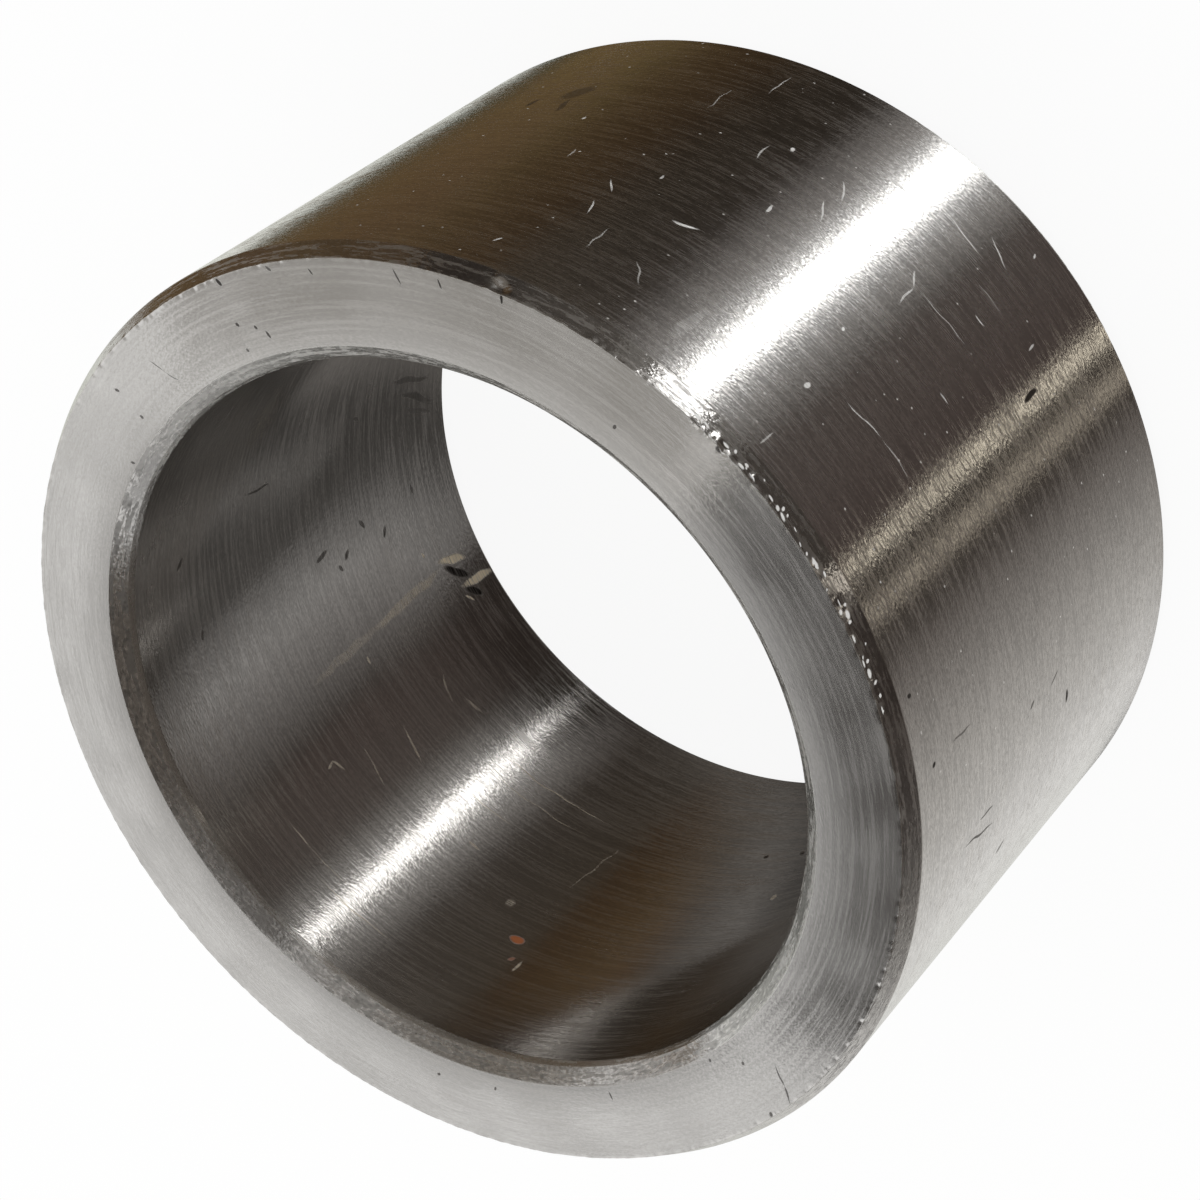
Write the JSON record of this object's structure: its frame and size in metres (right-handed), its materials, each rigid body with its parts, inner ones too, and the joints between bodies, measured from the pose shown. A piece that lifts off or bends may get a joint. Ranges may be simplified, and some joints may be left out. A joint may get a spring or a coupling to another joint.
{
  "type": "bushing",
  "caption": "Plain cylindrical steel bushing with a honed bore, a ground outside and chamfered ends, pressed into a housing to carry a pin.",
  "frame": {"origin": "on the bore axis, in the plane of the lower end face, so the bushing stands on Z = 0", "axes": "+Z along the bore axis, up, towards the end face that the picture shows; X and Y are any pair square to it"},
  "size_m": [0.065, 0.065, 0.04],
  "materials": {
    "ground_steel": "ground outside, honed bore and turned end faces, lightly scratched and pitted"
  },
  "bodies": {
    "root": {"bushing": "ground_steel"}
  },
  "joints": []
}
